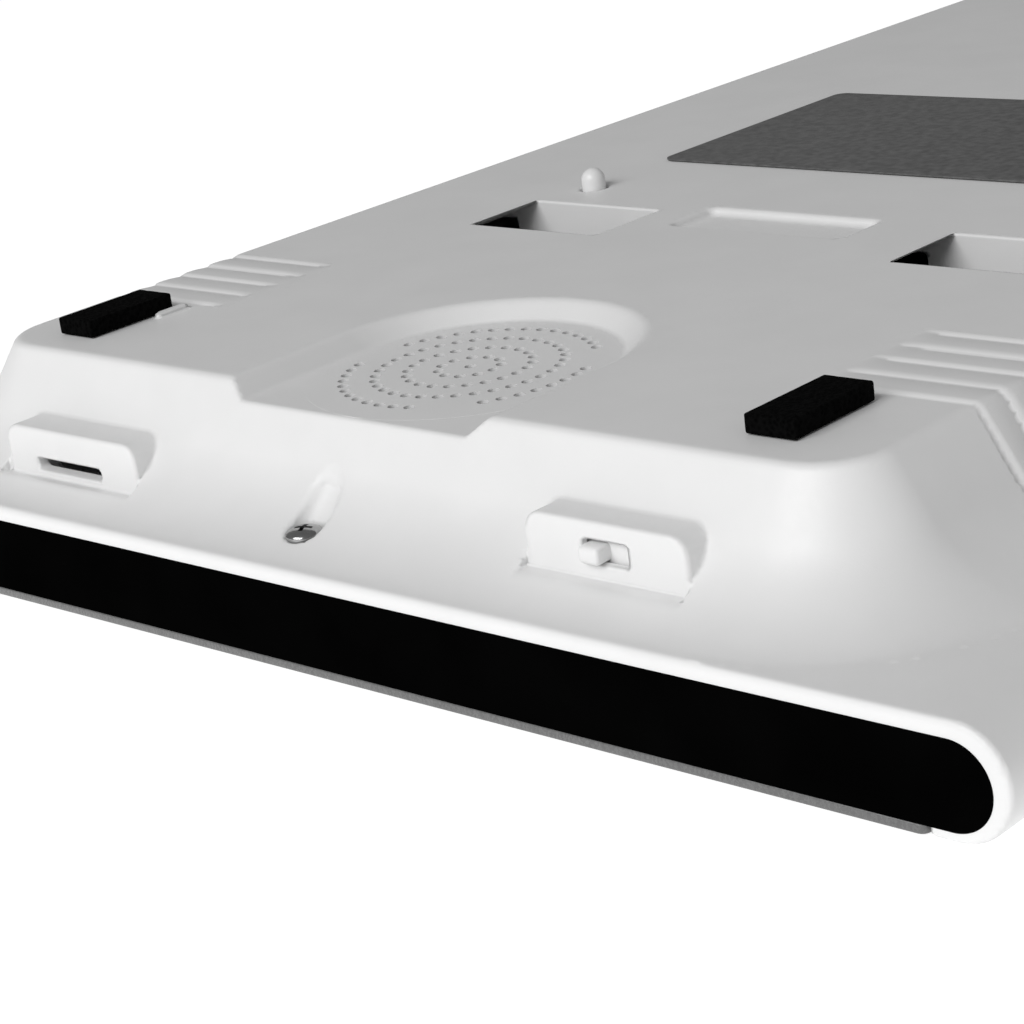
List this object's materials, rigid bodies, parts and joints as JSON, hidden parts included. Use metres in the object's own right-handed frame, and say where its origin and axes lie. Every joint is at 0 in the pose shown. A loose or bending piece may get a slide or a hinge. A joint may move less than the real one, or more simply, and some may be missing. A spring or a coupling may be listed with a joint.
{
  "type": "alarm keypad panel",
  "caption": "Flat wall-hung alarm keypad panel with a touch front, raised rear cover, speaker grille, power switch, charging inlet and hook slots.",
  "frame": {"origin": "centre of the front plate's outer face, which is the bottom of the bounding box when the panel lies on its front", "axes": "+Z out of the back, +Y to the panel's top end as it hangs, +X to the right seen with the back up and the bottom end nearest"},
  "size_m": [0.124, 0.186, 0.0187],
  "materials": {
    "white_abs": "fine matt moulded ABS",
    "black_plastic": "satin black",
    "dark_abs": "matt black moulding",
    "front_acrylic": "clear acrylic printed black behind",
    "black_foam": "closed-cell foam",
    "screw_steel": "nickel plated",
    "tinned_steel": "tinned sheet",
    "board_black": "black solder mask on glass-epoxy",
    "flex_amber": "polyimide film",
    "chip_black": "moulded epoxy",
    "speaker_paper": "coated paper",
    "battery_foil": "aluminised pouch film",
    "wire_red": "PVC insulation",
    "label_film": "matt polyester film, unprinted"
  },
  "bodies": {
    "panel": {"antenna_lead": "chip_black", "antenna_strip": "flex_amber", "battery_lead": "wire_red", "battery_pack": "battery_foil", "battery_plug": "white_abs", "board_screw_1": "screw_steel", "board_screw_2": "screw_steel", "board_screw_3": "screw_steel", "board_screw_4": "screw_steel", "controller_chip": "chip_black", "cover_screw_bottom": "screw_steel", "cover_screw_top": "screw_steel", "display_flex": "flex_amber", "display_module": "black_plastic", "end_cap_bottom": "black_plastic", "end_cap_top": "black_plastic", "foot_pad_bottom_left": "black_foam", "foot_pad_bottom_right": "black_foam", "foot_pad_top_left": "black_foam", "foot_pad_top_right": "black_foam", "frame_screw_1": "screw_steel", "frame_screw_2": "screw_steel", "frame_screw_3": "screw_steel", "frame_screw_4": "screw_steel", "frame_screw_5": "screw_steel", "frame_screw_6": "screw_steel", "front_frame": "dark_abs", "front_plate": "front_acrylic", "main_board": "board_black", "power_switch_body": "tinned_steel", "radio_shield": "tinned_steel", "rating_label": "label_film", "rear_shell": "white_abs", "speaker_cone": "speaker_paper", "speaker_frame": "dark_abs", "speaker_gasket": "black_foam", "speaker_lead": "wire_red", "tamper_spring": "screw_steel", "tamper_switch": "chip_black", "touch_board": "board_black", "touch_flex": "flex_amber", "usb_socket": "tinned_steel", "wifi_shield": "tinned_steel"},
    "switch_knob": {"power_switch_knob": "white_abs"},
    "plunger": {"tamper_plunger": "white_abs"}
  },
  "joints": [
    {"name": "power_switch_slide", "type": "slide", "parent": "panel", "child": "switch_knob", "axis": [1, 0, 0], "range_m": [0, 0.002]},
    {"name": "tamper_press", "type": "slide", "parent": "panel", "child": "plunger", "axis": [0, 0, -1], "range_m": [0, 0.0012], "stiffness_N_per_m": 200}
  ]
}
